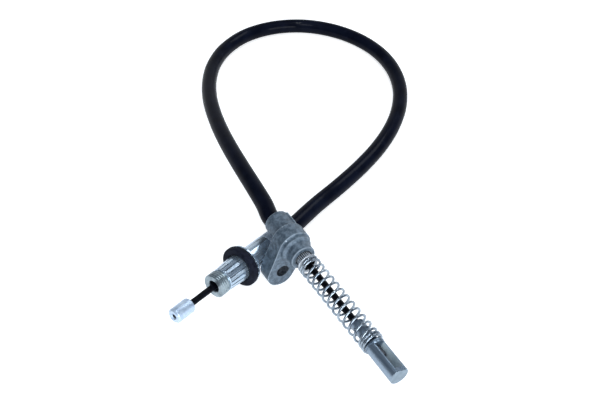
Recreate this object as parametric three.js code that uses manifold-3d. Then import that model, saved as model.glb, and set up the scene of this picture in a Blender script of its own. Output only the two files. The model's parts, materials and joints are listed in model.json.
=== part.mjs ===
// Parking brake cable: a looped conduit with a pull end and a sprung lever end.
// Millimetres, +Z up. The cable lies on the plane z = 0.
import * as THREE from 'three';
import { mergeVertices } from 'three/addons/utils/BufferGeometryUtils.js';
import Module from 'manifold-3d';

const wasm = await Module();
wasm.setup();

// Shared fits
const seatGap = 0.3; // between two pieces that touch
const runningGap = 0.5; // between two pieces that slide
const roundSides = 32; // facets round a turned piece

// Conduit, from the inner wire outwards
const wireRadius = 1.5;
const strandRadius = 0.85;
const linerWall = 0.4;
const armourWall = 0.6;
const jacketWall = 0.65;
const linerInner = wireRadius + runningGap;
const linerOuter = linerInner + linerWall;
const armourInner = linerOuter + seatGap;
const armourOuter = armourInner + armourWall;
const jacketInner = armourOuter + seatGap;
const jacketRadius = jacketInner + jacketWall;
const routeSteps = 40;
const jacketSides = 12;
const coreSides = 8;
const middleSkipsAtLever = 1; // steps that the fixed wire stays short of the conduit's lever end
const middleSkipsAtPull = 1;

// Travel of the inner wire
const travel = 20;
const travelSpare = 2; // left between the sliding wire and the fixed one at full travel

// Bracket, measured along its own axis from the collar's face, outwards positive
const boreClearance = 0.35;
const sleeveRadius = 3.7;
const collarRadius = 6.0;
const collarLength = 5.2;
const bossRadius = 7.3;
const bossLength = 2.5;
const bossFillet = 0.8;
const bossEdge = 0.6;
const filletSteps = 3;
const plateThickness = 7.4;
const plateRadius = 8.2;
const plateEdge = 0.5;
const neckLength = 11.5;
const neckEndRadius = 6.0;
const neckRootRadius = 6.6;
const neckShift = 1.1; // the neck's outside lies this far to the right of its bore
const neckFlare = 1.0;
const neckFlareLength = 2;
const castEdge = 0.25;
const socketDepth = 8;
const boltReach = 13.8; // from the axis to the bolt hole
const earReach = 15.6; // from the axis to the middle of the ear's round end
const earAngle = 62; // degrees below the horizontal
const earRadius = 6.8;
const boltHoleRadius = 3.2;
const earBossLength = 1.2;
const earBossRadius = 5.2;
const neckPadWidth = 4.2;
const neckPadLength = 7;
const neckPadRise = 0.6;
const neckPadFrom = 1.4; // from the neck's end
const neckPadTurn = 25; // degrees to the right of straight up

// Guide sleeve in the collar
const sleeveKnurls = 24;
const knurlDepth = 0.22;
const sleeveStandOut = 3.4;
const sleeveSeat = 9;
const sleeveRimRadius = 5.0;
const sleeveRimLength = 0.8;
const knurlShare = 0.42;

// Return spring
const springWire = 1.15;
const springRadius = 5.2; // outside
const springLength = 50.6;
const springOpenPitch = 3.9;
const springClosedPitch = 1.4;
const springClosedTurns = 1.75; // at each end
const springTurnFrom = 2.2; // radians, where the wire starts
const springStepsPerTurn = 14;
const springSides = 6;

// Lever rod
const rodRadius = 4.2;
const rodRimRadius = 4.8; // the rim that the spring bears on
const rodRimLength = 0.9;
const rodLength = 17;
const rodShankRadius = 3.0;
const rodShankLength = 15.2;
const rodFlatHeight = 3.2; // from the rod's axis to the milled flat
const rodFlatLean = 19; // degrees to the right of straight up
const pocketWidth = 4.2;
const pocketFloor = 2.1; // below the rod's axis
const pocketCorner = 0.6;
const pocketStart = 1.6; // from the shoulder
const rodEndWall = 2.0;
const rodEndChamfer = 0.5;
const strandHoleClearance = 0.3;
const wireStopRadius = 1.8;
const wireStopLength = 4.4;
const wireStopEdge = 0.4;

// Pull ferrule, measured along its own axis from the mouth's face, outwards positive
const ferruleBoreRadius = 2.8;
const mouthLength = 4.6;
const mouthRadius = 5.7;
const mouthRidges = 3;
const ridgeDepth = 0.35;
const mouthEdge = 0.6;
const turnedEdge = 0.3; // chamfer of the turned steel pieces
const grooveLength = 0.9;
const grooveRadius = 4.9;
const barrelRadius = 5.5;
const splineLength = 8.6;
const splineRadius = 6.3;
const splineHeight = 0.55;
const splineCount = 18;
const splineShare = 0.6;
const washerFaceAt = 16.6; // from the mouth to the washer's front face
const washerThickness = 3;
const washerRadius = 9.8;
const washerEdge = 0.5;
const flangeThickness = 1.2;
const flangeRadius = 9.1;
const rearRadius = 5.9;
const rearLength = 14.7;
const conduitInFerrule = 6;
const crimpLength = 14;
const crimpWall = 1.1;
const crimpRibs = 20;
const crimpRibHeight = 0.2;

// Nipple on the pull end
const nippleRadius = 3.5;
const nippleLength = 10;
const nippleChamfer = 0.7;
const nippleLeadIn = 0.6; // depth of the countersink that the coated wire enters
const nippleDimple = 0.5;
const nippleDimpleWidth = 0.3;
const wireExposed = 14.8; // between the mouth and the nipple

// Places of the two ends on the ground, and their directions
const leverPlace = [1.6, -54.9];
const leverHeading = -59.3; // degrees from +X
const pullPlace = [-38.2, -64.2];
const pullHeading = 231.9;
const pullTilt = 7; // degrees that the mouth is raised

// Straight lengths of the conduit at its two ends
const straightInNeck = 2;
const straightBehind = 4;
const straightInCrimp = 6;

const degrees = Math.PI / 180;

// Heights that follow from what rests on the ground
const earDrop = earReach * Math.sin(earAngle * degrees) + earRadius;
const leverHeight = earDrop;
const washerMiddle = washerFaceAt + washerThickness / 2;
const washerHeight =
  washerRadius * Math.cos(pullTilt * degrees) + (washerThickness / 2) * Math.sin(pullTilt * degrees);
const pullHeight = washerHeight + washerMiddle * Math.sin(pullTilt * degrees);

// Places along the bracket's axis
const bossFrontAt = -collarLength;
const plateFrontAt = bossFrontAt - bossLength;
const plateBackAt = plateFrontAt - plateThickness;
const neckEndAt = plateBackAt - neckLength;
const socketBottomAt = neckEndAt + socketDepth;
const springStartAt = sleeveStandOut + sleeveRimLength + seatGap;
const shoulderAt = springStartAt + springLength + seatGap;
const shankEndAt = shoulderAt - rodShankLength;
const rodEndAt = shoulderAt + rodLength;
const leverWireEndAt = neckEndAt + travel + travelSpare; // clear of the fixed wire at full travel

// Places along the ferrule's axis
const grooveAt = -mouthLength;
const barrelAt = grooveAt - grooveLength;
const washerFrontAt = -washerFaceAt;
const flangeFrontAt = washerFrontAt - washerThickness - 2 * seatGap;
const flangeBackAt = flangeFrontAt - flangeThickness;
const ferruleEndAt = flangeBackAt - rearLength;
const conduitStopAt = ferruleEndAt + conduitInFerrule;
const crimpFrontAt = ferruleEndAt - seatGap;
const crimpBackAt = crimpFrontAt - crimpLength;
const nippleAt = wireExposed;

// Helpers: merged geometry, solids and back
function merged(geometry) {
  const copy = geometry.clone();
  copy.deleteAttribute('normal');
  copy.deleteAttribute('uv');
  const joined = mergeVertices(copy, 1e-4);
  const index = joined.index.array;
  const kept = [];
  for (let i = 0; i < index.length; i += 3) {
    const [a, b, c] = [index[i], index[i + 1], index[i + 2]];
    if (a !== b && b !== c && c !== a) kept.push(a, b, c);
  }
  joined.setIndex(kept);
  return joined;
}

function solid(geometry) {
  const joined = merged(geometry);
  const vertProperties = new Float32Array(joined.attributes.position.array);
  const triVerts = new Uint32Array(joined.index.array);
  return new wasm.Manifold(new wasm.Mesh({ numProp: 3, vertProperties, triVerts }));
}

function geometryOf(body) {
  const mesh = body.getMesh();
  const geometry = new THREE.BufferGeometry();
  const points = new Float32Array(mesh.numVert * 3);
  for (let v = 0; v < mesh.numVert; v += 1) {
    for (let k = 0; k < 3; k += 1) points[v * 3 + k] = mesh.vertProperties[v * mesh.numProp + k];
  }
  geometry.setAttribute('position', new THREE.BufferAttribute(points, 3));
  geometry.setIndex(Array.from(mesh.triVerts));
  return geometry;
}

// A turned piece: its profile is a list of [place along the axis, radius]
function turned(profile, sides = roundSides) {
  const points = profile.map(([along, radius]) => new THREE.Vector2(radius, along));
  return new THREE.LatheGeometry(points, sides).rotateZ(-Math.PI / 2);
}

function rod(from, to, radius, sides = roundSides) {
  return turned([[from, 0], [from, radius], [to, radius], [to, 0]], sides);
}

// A flat outline across the axis, given as [sideways, up] points, drawn out along the axis
function across(outline, from, length, edge = 0) {
  const shape = new THREE.Shape(outline.map(([side, up]) => new THREE.Vector2(-up, side)));
  const options = { depth: length - 2 * edge, bevelEnabled: edge > 0, curveSegments: 12 };
  if (edge > 0) {
    Object.assign(options, { bevelSize: edge, bevelThickness: edge, bevelOffset: -edge, bevelSegments: 2 });
  }
  return new THREE.ExtrudeGeometry(shape, options).rotateY(Math.PI / 2).translate(from + edge, 0, 0);
}

// Ribs round an axis: an outline that steps between two radii
function ribbedOutline(count, inner, outer, share = 0.5) {
  const outline = [];
  const pitch = (2 * Math.PI) / count;
  for (let i = 0; i < count; i += 1) {
    const middle = i * pitch;
    const half = (pitch * share) / 2;
    const corners = [
      [middle - half - pitch * 0.08, inner],
      [middle - half, outer],
      [middle + half, outer],
      [middle + half + pitch * 0.08, inner],
    ];
    for (const [angle, radius] of corners) {
      outline.push([radius * Math.cos(angle), radius * Math.sin(angle)]);
    }
  }
  return outline;
}

// Two circles joined by their outer tangents, as [sideways, up] points
function linkOutline(centreA, radiusA, centreB, radiusB, arcSteps = 10) {
  const [ax, ay] = centreA;
  const [bx, by] = centreB;
  const heading = Math.atan2(by - ay, bx - ax);
  const spread = Math.acos((radiusA - radiusB) / Math.hypot(bx - ax, by - ay));
  const outline = [];
  const arc = (cx, cy, radius, from, to) => {
    for (let i = 0; i <= arcSteps; i += 1) {
      const angle = from + ((to - from) * i) / arcSteps;
      outline.push([cx + radius * Math.cos(angle), cy + radius * Math.sin(angle)]);
    }
  };
  arc(ax, ay, radiusA, heading + spread, heading + 2 * Math.PI - spread);
  arc(bx, by, radiusB, heading - spread, heading + spread);
  return outline;
}

function material(colour, roughness, metalness) {
  return new THREE.MeshStandardMaterial({ color: colour, roughness, metalness });
}

function piece(name, geometry, colour, roughness, metalness) {
  const mesh = new THREE.Mesh(merged(geometry), material(colour, roughness, metalness));
  mesh.name = name;
  return mesh;
}

// The two ends' frames: local +X points out along the fitting
const leverEnd = new THREE.Group();
leverEnd.position.set(leverPlace[0], leverPlace[1], leverHeight);
leverEnd.rotation.set(0, 0, leverHeading * degrees);

const pullEnd = new THREE.Group();
pullEnd.position.set(pullPlace[0], pullPlace[1], pullHeight);
pullEnd.rotation.set(0, -pullTilt * degrees, pullHeading * degrees, 'ZYX');

leverEnd.updateMatrixWorld();
pullEnd.updateMatrixWorld();

function alongLever(distance) {
  return new THREE.Vector3(distance, 0, 0).applyMatrix4(leverEnd.matrixWorld);
}

function alongPull(distance) {
  return new THREE.Vector3(distance, 0, 0).applyMatrix4(pullEnd.matrixWorld);
}

// The conduit's route: straight out of the bracket, round the loop, straight into the ferrule
const floorHeight = jacketRadius;
const loopPoints = [
  [-16.9, -20.2, 20.5],
  [-21.9, -8.6, 20.1],
  [-29.3, 8.7, 18.7],
  [-36.4, 26.5, 16.7],
  [-42.7, 44.6, 14.3],
  [-47.9, 63.0, 11.8],
  [-51.7, 81.7, 9.3],
  [-53.3, 100.8, 7.1],
  [-51.9, 120.0, 5.4],
  [-45.9, 138.2, 4.4],
  [-34.0, 153.3, floorHeight],
  [-17.1, 162.3, floorHeight],
  [1.9, 164.3, floorHeight],
  [20.4, 159.2, floorHeight],
  [36.4, 148.5, floorHeight],
  [48.6, 133.6, floorHeight],
  [56.0, 115.9, floorHeight],
  [58.6, 96.8, floorHeight],
  [56.7, 77.7, floorHeight],
  [51.1, 59.2, floorHeight],
  [42.7, 41.9, floorHeight],
  [32.1, 25.7, floorHeight],
  [20.2, 10.5, floorHeight],
  [7.7, -4.2, floorHeight],
].map(([x, y, z]) => new THREE.Vector3(x, y, z));

const route = new THREE.CatmullRomCurve3(
  [
    alongLever(socketBottomAt - seatGap),
    alongLever(neckEndAt + straightInNeck),
    alongLever(neckEndAt - straightBehind),
    ...loopPoints,
    alongPull(crimpBackAt - straightBehind),
    alongPull(crimpBackAt + straightInCrimp),
    alongPull(conduitStopAt - straightInCrimp),
    alongPull(conduitStopAt - seatGap),
  ],
  false,
  'centripetal',
);
route.arcLengthDivisions = 1200;

// A stretch of the route that keeps to the same steps
class Stretch extends THREE.Curve {
  constructor(skipStart, skipEnd) {
    super();
    this.from = skipStart / routeSteps;
    this.to = 1 - skipEnd / routeSteps;
    this.arcLengthDivisions = 600;
  }

  getPoint(share, target = new THREE.Vector3()) {
    return route.getPointAt(this.from + (this.to - this.from) * share, target);
  }
}

function ringShape(outer, inner, sides) {
  const corners = (radius) =>
    Array.from({ length: sides }, (_, i) => {
      const angle = ((i + 0.5) / sides) * 2 * Math.PI;
      return new THREE.Vector2(radius * Math.cos(angle), radius * Math.sin(angle));
    });
  const shape = new THREE.Shape(corners(outer));
  if (inner > 0) shape.holes.push(new THREE.Path(corners(inner)));
  return shape;
}

function tubeAlong(outer, inner, sides, skipStart = 0, skipEnd = 0) {
  const steps = routeSteps - skipStart - skipEnd;
  const extrudePath = new Stretch(skipStart, skipEnd);
  return new THREE.ExtrudeGeometry(ringShape(outer, inner, sides), { steps, extrudePath });
}

// Bracket: neck, eared plate, boss and collar cast as one
function bracketGeometry() {
  const downEar = (reach) => [-reach * Math.cos(earAngle * degrees), -reach * Math.sin(earAngle * degrees)];
  const bolt = downEar(boltReach);
  const plate = across(
    linkOutline([0, 0], plateRadius, downEar(earReach), earRadius),
    plateBackAt,
    plateThickness,
    plateEdge,
  );
  const fillet = Array.from({ length: filletSteps + 1 }, (_, step) => {
    const angle = (step / filletSteps) * (Math.PI / 2);
    const along = plateFrontAt + bossFillet * (1 - Math.cos(angle));
    return [along, bossRadius + bossFillet * (1 - Math.sin(angle))];
  });
  const boss = turned([
    [plateFrontAt - plateEdge, 0],
    [plateFrontAt - plateEdge, bossRadius + bossFillet],
    ...fillet,
    [bossFrontAt - bossEdge, bossRadius],
    [bossFrontAt, bossRadius - bossEdge],
    [bossFrontAt + castEdge, collarRadius],
    [-castEdge, collarRadius],
    [0, collarRadius - castEdge],
    [0, 0],
  ]);
  const neck = turned([
    [neckEndAt, 0],
    [neckEndAt, neckEndRadius - castEdge],
    [neckEndAt + castEdge, neckEndRadius],
    [plateBackAt - neckFlareLength, neckRootRadius],
    [plateBackAt + plateEdge, neckRootRadius + neckFlare],
    [plateBackAt + plateEdge, 0],
  ]);
  const padReach = neckEndRadius + neckPadRise;
  const padHalf = neckPadWidth / 2;
  const pad = across(
    [[0, -padHalf], [padReach, -padHalf], [padReach, padHalf], [0, padHalf]],
    neckEndAt + neckPadFrom,
    neckPadLength,
    castEdge,
  );
  pad.rotateX(neckPadTurn * degrees);
  neck.translate(0, neckShift, 0);
  pad.translate(0, neckShift, 0);
  const earBoss = rod(plateBackAt - earBossLength, plateBackAt + plateEdge, earBossRadius, 24);
  earBoss.translate(0, bolt[0], bolt[1]);
  const boltHole = rod(plateBackAt - earBossLength - 1, plateFrontAt + 1, boltHoleRadius, 24);
  boltHole.translate(0, bolt[0], bolt[1]);
  const sleeveBore = rod(-sleeveSeat - seatGap, 1, sleeveRadius + boreClearance);
  const wireWay = rod(socketBottomAt - 1, -sleeveSeat + 1, wireRadius + runningGap, 16);
  const socket = rod(neckEndAt - 1, socketBottomAt, jacketRadius + seatGap);
  return geometryOf(
    solid(plate)
      .add(solid(boss))
      .add(solid(neck))
      .add(solid(pad))
      .add(solid(earBoss))
      .subtract(solid(boltHole))
      .subtract(solid(sleeveBore))
      .subtract(solid(wireWay))
      .subtract(solid(socket)),
  );
}

// Guide sleeve: a knurled tube with a rim that seats the spring
function sleeveGeometry() {
  const knurled = across(
    ribbedOutline(sleeveKnurls, sleeveRadius - knurlDepth, sleeveRadius, knurlShare),
    -sleeveSeat,
    sleeveSeat + sleeveStandOut,
  );
  const rim = turned([
    [sleeveStandOut - 0.1, 0],
    [sleeveStandOut - 0.1, sleeveRimRadius - 0.2],
    [sleeveStandOut + 0.1, sleeveRimRadius],
    [sleeveStandOut + sleeveRimLength - 0.2, sleeveRimRadius],
    [sleeveStandOut + sleeveRimLength, sleeveRimRadius - 0.2],
    [sleeveStandOut + sleeveRimLength, 0],
  ]);
  const bore = rod(-sleeveSeat - 1, sleeveStandOut + sleeveRimLength + 1, wireRadius + runningGap, 20);
  return geometryOf(solid(knurled).add(solid(rim)).subtract(solid(bore)));
}

// Return spring: closed end turns and open turns between them
class SpringLine extends THREE.Curve {
  constructor() {
    super();
    this.closedRise = springClosedTurns * springClosedPitch;
    this.openRise = springLength - springWire - 2 * this.closedRise;
    this.openTurns = Math.round(this.openRise / springOpenPitch);
    this.turns = this.openTurns + 2 * springClosedTurns;
    this.arcLengthDivisions = 2400;
  }

  rise(turn) {
    if (turn < springClosedTurns) return turn * springClosedPitch;
    const open = turn - springClosedTurns;
    const openPitch = this.openRise / this.openTurns;
    if (open < this.openTurns) return this.closedRise + open * openPitch;
    return this.closedRise + this.openRise + (open - this.openTurns) * springClosedPitch;
  }

  getPoint(share, target = new THREE.Vector3()) {
    const turn = share * this.turns;
    const angle = turn * 2 * Math.PI + springTurnFrom;
    const radius = springRadius - springWire / 2;
    const along = springStartAt + springWire / 2 + this.rise(turn);
    return target.set(along, radius * Math.cos(angle), radius * Math.sin(angle));
  }
}

function springGeometry() {
  const extrudePath = new SpringLine();
  const steps = Math.round(extrudePath.turns * springStepsPerTurn);
  return new THREE.ExtrudeGeometry(ringShape(springWire / 2, 0, springSides), { steps, extrudePath });
}

// Lever rod: shank inside the spring, shoulder, milled flat and pocket
function leverRodGeometry() {
  const body = turned([
    [shankEndAt, 0],
    [shankEndAt, rodShankRadius - turnedEdge],
    [shankEndAt + turnedEdge, rodShankRadius],
    [shoulderAt, rodShankRadius],
    [shoulderAt, rodRimRadius],
    [shoulderAt + rodRimLength, rodRimRadius],
    [shoulderAt + rodRimLength, rodRadius],
    [rodEndAt - rodEndChamfer, rodRadius],
    [rodEndAt, rodRadius - rodEndChamfer],
    [rodEndAt, 0],
  ]);
  const pocketFrom = shoulderAt + pocketStart;
  const pocketTo = rodEndAt - rodEndWall;
  const wide = rodRadius + 1;
  const flat = across(
    [[-wide, rodFlatHeight], [wide, rodFlatHeight], [wide, wide], [-wide, wide]],
    pocketFrom,
    rodEndAt + 1 - pocketFrom,
  );
  const half = pocketWidth / 2;
  const pocket = across(
    [
      [-half, wide],
      [-half, -pocketFloor + pocketCorner],
      [-half + pocketCorner, -pocketFloor],
      [half - pocketCorner, -pocketFloor],
      [half, -pocketFloor + pocketCorner],
      [half, wide],
    ],
    pocketFrom,
    pocketTo - pocketFrom,
  );
  const strandHole = rod(shankEndAt - 1, pocketFrom + 1, strandRadius + strandHoleClearance, 16);
  const lean = -rodFlatLean * degrees;
  flat.rotateX(lean);
  pocket.rotateX(lean);
  return geometryOf(
    solid(body).subtract(solid(flat)).subtract(solid(pocket)).subtract(solid(strandHole)),
  );
}

function leverWireGeometry() {
  const coatEnd = shankEndAt - seatGap;
  const strandEnd = shoulderAt + pocketStart + seatGap + wireStopLength;
  return turned(
    [
      [leverWireEndAt, 0],
      [leverWireEndAt, wireRadius],
      [coatEnd, wireRadius],
      [coatEnd, strandRadius],
      [strandEnd, strandRadius],
      [strandEnd, 0],
    ],
    16,
  );
}

function wireStopGeometry() {
  const from = shoulderAt + pocketStart + seatGap;
  const to = from + wireStopLength;
  const inner = strandRadius + seatGap;
  return turned(
    [
      [from, inner],
      [from, wireStopRadius],
      [to - wireStopEdge, wireStopRadius],
      [to, wireStopRadius - wireStopEdge],
      [to, inner],
      [from, inner],
    ],
    16,
  );
}

// Pull ferrule: ridged mouth, groove, splined barrel, flange and rear tube
function ferruleGeometry() {
  const ridges = [];
  const ridgePitch = mouthLength / mouthRidges;
  for (let i = mouthRidges - 1; i >= 0; i -= 1) {
    const front = -i * ridgePitch;
    ridges.push([front - ridgePitch, mouthRadius - ridgeDepth]);
    ridges.push([front - ridgePitch * 0.65, mouthRadius]);
    ridges.push([front - ridgePitch * 0.35, mouthRadius]);
  }
  const core = turned([
    [ferruleEndAt, 0],
    [ferruleEndAt, rearRadius - turnedEdge],
    [ferruleEndAt + turnedEdge, rearRadius],
    [flangeBackAt - 0.8, rearRadius],
    [flangeBackAt, rearRadius + 0.8],
    [flangeBackAt, flangeRadius - turnedEdge],
    [flangeBackAt + turnedEdge, flangeRadius],
    [flangeFrontAt - turnedEdge, flangeRadius],
    [flangeFrontAt, flangeRadius - turnedEdge],
    [flangeFrontAt, barrelRadius],
    [barrelAt, barrelRadius],
    [barrelAt, grooveRadius],
    [grooveAt, grooveRadius],
    ...ridges,
    [0, mouthRadius - mouthEdge],
    [0, 0],
  ]);
  const splineFrom = flangeFrontAt;
  const splineTo = washerFrontAt + splineLength;
  const splines = across(
    ribbedOutline(splineCount, splineRadius - splineHeight, splineRadius, splineShare),
    splineFrom - 0.2,
    splineTo - splineFrom,
  );
  const bore = rod(conduitStopAt - 1, 1, ferruleBoreRadius, 24);
  const socket = rod(ferruleEndAt - 1, conduitStopAt, jacketRadius + seatGap);
  return geometryOf(solid(core).add(solid(splines)).subtract(solid(bore)).subtract(solid(socket)));
}

// Rubber washer in front of the flange
function washerGeometry() {
  const back = washerFrontAt - washerThickness;
  const inner = splineRadius + seatGap;
  return turned([
    [back, inner],
    [back, washerRadius - washerEdge],
    [back + washerEdge, washerRadius],
    [washerFrontAt - washerEdge, washerRadius],
    [washerFrontAt, washerRadius - washerEdge],
    [washerFrontAt, inner],
    [back, inner],
  ]);
}

// Crimp sleeve over the conduit, with pressed ribs
function crimpGeometry() {
  const inner = jacketRadius + seatGap;
  const outer = inner + crimpWall;
  const body = across(
    ribbedOutline(crimpRibs, outer - crimpRibHeight, outer, 0.5),
    crimpBackAt,
    crimpLength,
  );
  return geometryOf(solid(body).subtract(solid(rod(crimpBackAt - 1, crimpFrontAt + 1, inner))));
}

function nippleGeometry() {
  const to = nippleAt + nippleLength;
  const inner = strandRadius + seatGap;
  const leadIn = wireRadius + seatGap;
  return turned([
    [nippleAt, leadIn],
    [nippleAt, nippleRadius - nippleChamfer],
    [nippleAt + nippleChamfer, nippleRadius],
    [to - nippleChamfer, nippleRadius],
    [to, nippleRadius - nippleChamfer],
    [to, inner + nippleDimpleWidth],
    [to - nippleDimple, inner],
    [nippleAt + nippleLeadIn, inner],
    [nippleAt, leadIn],
  ]);
}

function pullWireGeometry() {
  const innerEnd = -routeStepLength * middleSkipsAtPull + conduitStopAt + seatGap;
  const coatEnd = nippleAt - seatGap;
  const strandEnd = nippleAt + nippleLength - seatGap;
  return turned(
    [
      [innerEnd, 0],
      [innerEnd, wireRadius],
      [coatEnd, wireRadius],
      [coatEnd, strandRadius],
      [strandEnd, strandRadius],
      [strandEnd, 0],
    ],
    16,
  );
}

const routeStepLength = route.getLength() / routeSteps;

leverEnd.add(
  piece('bracket', bracketGeometry(), 0x7d8894, 0.55, 0.75),
  piece('guide_sleeve', sleeveGeometry(), 0xaeb6bf, 0.3, 0.95),
  piece('return_spring', springGeometry(), 0xb4bcc6, 0.25, 1.0),
  piece('lever_rod', leverRodGeometry(), 0x8e9aa6, 0.3, 0.95),
  piece('lever_wire', leverWireGeometry(), 0x0b0c12, 0.35, 0.0),
  piece('wire_stop', wireStopGeometry(), 0x39404a, 0.5, 0.8),
);

pullEnd.add(
  piece('pull_ferrule', ferruleGeometry(), 0x9fb0c0, 0.3, 0.95),
  piece('rubber_washer', washerGeometry(), 0x14151a, 0.7, 0.0),
  piece('crimp_sleeve', crimpGeometry(), 0x7f8b97, 0.35, 0.95),
  piece('nipple', nippleGeometry(), 0xb2bfcc, 0.35, 0.9),
  piece('pull_wire', pullWireGeometry(), 0x0b0c12, 0.35, 0.0),
);

const cable = new THREE.Group();
cable.add(
  leverEnd,
  pullEnd,
  piece('conduit_jacket', tubeAlong(jacketRadius, jacketInner, jacketSides), 0x08090d, 0.3, 0.0),
  piece('conduit_armour', tubeAlong(armourOuter, armourInner, coreSides), 0x9097a0, 0.4, 0.9),
  piece('conduit_liner', tubeAlong(linerOuter, linerInner, coreSides), 0xe8e6df, 0.4, 0.0),
  piece(
    'inner_wire',
    tubeAlong(wireRadius, 0, coreSides, middleSkipsAtLever, middleSkipsAtPull),
    0x0b0c12,
    0.35,
    0.0,
  ),
);

// The origin is at the bottom centre of the whole cable
cable.updateMatrixWorld(true);
const extent = new THREE.Box3().setFromObject(cable, true);
cable.position.set(-(extent.min.x + extent.max.x) / 2, -(extent.min.y + extent.max.y) / 2, -extent.min.z);

export default cable;
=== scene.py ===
# Parking brake cable: looks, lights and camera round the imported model
import json
import math
import bmesh
import bpy
from mathutils import Matrix, Vector


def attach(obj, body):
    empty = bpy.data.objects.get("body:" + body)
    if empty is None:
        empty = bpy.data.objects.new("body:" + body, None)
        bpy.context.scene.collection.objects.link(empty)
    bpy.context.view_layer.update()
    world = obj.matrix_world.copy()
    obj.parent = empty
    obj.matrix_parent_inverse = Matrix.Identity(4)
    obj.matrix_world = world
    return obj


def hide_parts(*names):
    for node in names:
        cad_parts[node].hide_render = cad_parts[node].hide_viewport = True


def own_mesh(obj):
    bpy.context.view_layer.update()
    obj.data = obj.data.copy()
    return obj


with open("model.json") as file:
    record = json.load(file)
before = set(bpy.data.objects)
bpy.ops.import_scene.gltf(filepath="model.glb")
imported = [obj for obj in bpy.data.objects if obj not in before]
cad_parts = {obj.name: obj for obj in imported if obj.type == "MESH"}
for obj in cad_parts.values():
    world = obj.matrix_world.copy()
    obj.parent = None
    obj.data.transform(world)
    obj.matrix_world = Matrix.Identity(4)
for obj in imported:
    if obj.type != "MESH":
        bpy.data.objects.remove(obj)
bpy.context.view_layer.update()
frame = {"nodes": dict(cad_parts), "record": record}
record = frame["record"]
mm = 0.001
print("frame loaded")

# The mounts' places on their fittings, and the lever's origin before the frame's shift
leverSpot = {"rodEndAt": 72.4, "place": (1.6, -54.9, 20.574)}
pullSpot = {"washerFaceAt": 16.6, "washerMountUp": 8.2}


def mountNamed(name):
    return next(m for m in record["mounts"] if m["name"] == name)


def axisFrame(origin, direction):
    # local X runs out along the fitting, local Z stays as near to straight up as it can
    x = Vector(direction).normalized()
    y = Vector((0, 0, 1)).cross(x).normalized()
    z = x.cross(y)
    turn = Matrix((x, y, z)).transposed().to_4x4()
    return Matrix.Translation(origin) @ turn


rodEndMount = mountNamed("rod_end_face")
leverAxis = Vector(rodEndMount["axis"])
leverOrigin = Vector(rodEndMount["pos_m"]) - leverAxis * leverSpot["rodEndAt"] * mm
leverFrame = axisFrame(leverOrigin, leverAxis)

washerMount = mountNamed("ferrule_washer_face")
pullAxis = Vector(washerMount["axis"])
pullTurn = axisFrame((0, 0, 0), pullAxis)
washerPoint = Vector((-pullSpot["washerFaceAt"], 0, pullSpot["washerMountUp"])) * mm
pullFrame = axisFrame(Vector(washerMount["pos_m"]) - pullTurn @ washerPoint, pullAxis)
frameShift = leverOrigin - Vector(leverSpot["place"]) * mm

# Camera, at the height and slope of the photograph's
camera = {"lens": 50, "sensor": 36, "near": 0.01, "pitch": 43.3, "place": (0.0, -305.93, 292.54)}
cameraData = bpy.data.cameras.new("camera")
cameraData.lens = camera["lens"]
cameraData.sensor_width = camera["sensor"]
cameraData.clip_start = camera["near"]
cameraObject = bpy.data.objects.new("camera", cameraData)
cameraObject.location = Vector(camera["place"]) * mm + Vector((frameShift.x, frameShift.y, 0))
cameraObject.rotation_euler = (math.radians(90 - camera["pitch"]), 0, 0)
bpy.context.scene.collection.objects.link(cameraObject)
bpy.context.scene.camera = cameraObject
print("camera placed")


# Materials
def newMaterial(name):
    material = bpy.data.materials.new(name)
    material.use_nodes = True
    nodes = material.node_tree.nodes
    nodes.clear()
    output = nodes.new("ShaderNodeOutputMaterial")
    shader = nodes.new("ShaderNodeBsdfPrincipled")
    material.node_tree.links.new(shader.outputs["BSDF"], output.inputs["Surface"])
    return material, nodes, material.node_tree.links, shader


def localCoordinates(nodes, links, place):
    # object coordinates turned so that X runs along the fitting
    coordinates = nodes.new("ShaderNodeTexCoord")
    mapping = nodes.new("ShaderNodeMapping")
    mapping.vector_type = "POINT"
    back = place.inverted()
    mapping.inputs["Location"].default_value = back.to_translation()
    mapping.inputs["Rotation"].default_value = back.to_euler("XYZ")
    links.new(coordinates.outputs["Object"], mapping.inputs["Vector"])
    return mapping.outputs["Vector"]


def noise(nodes, links, vector, scale, detail=4.0, rough=0.55):
    texture = nodes.new("ShaderNodeTexNoise")
    texture.inputs["Scale"].default_value = scale
    texture.inputs["Detail"].default_value = detail
    texture.inputs["Roughness"].default_value = rough
    links.new(vector, texture.inputs["Vector"])
    return texture.outputs["Fac"]


def ramp(nodes, links, value, low, high, darker, lighter):
    stops = nodes.new("ShaderNodeValToRGB")
    stops.color_ramp.elements[0].position = low
    stops.color_ramp.elements[1].position = high
    stops.color_ramp.elements[0].color = (*darker, 1)
    stops.color_ramp.elements[1].color = (*lighter, 1)
    links.new(value, stops.inputs["Fac"])
    return stops.outputs["Color"]


def mapped(nodes, links, value, fromRange, toRange=(0, 1)):
    scaled = nodes.new("ShaderNodeMapRange")
    for name, limit in zip(("From Min", "From Max", "To Min", "To Max"), (*fromRange, *toRange)):
        scaled.inputs[name].default_value = limit
    links.new(value, scaled.inputs["Value"])
    return scaled.outputs["Result"]


def stretched(nodes, links, vector, scale):
    mapping = nodes.new("ShaderNodeMapping")
    mapping.inputs["Scale"].default_value = scale
    links.new(vector, mapping.inputs["Vector"])
    return mapping.outputs["Vector"]


def bump(nodes, links, height, strength, distance, before=None):
    raised = nodes.new("ShaderNodeBump")
    raised.inputs["Strength"].default_value = strength
    raised.inputs["Distance"].default_value = distance
    links.new(height, raised.inputs["Height"])
    if before:
        links.new(before, raised.inputs["Normal"])
    return raised.outputs["Normal"]


# What all materials share: broad patches of colour and roughness, a fine grain, and drawn lines
mixing = {
    "patchRamp": (0.35, 0.68), "patchSpan": (0.3, 0.7), "grainNoise": (3.0, 0.6), "grainDepth": 0.0002,
    "lineNoise": (2.0, 0.7), "lineDepth": 0.0001,
}


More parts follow.
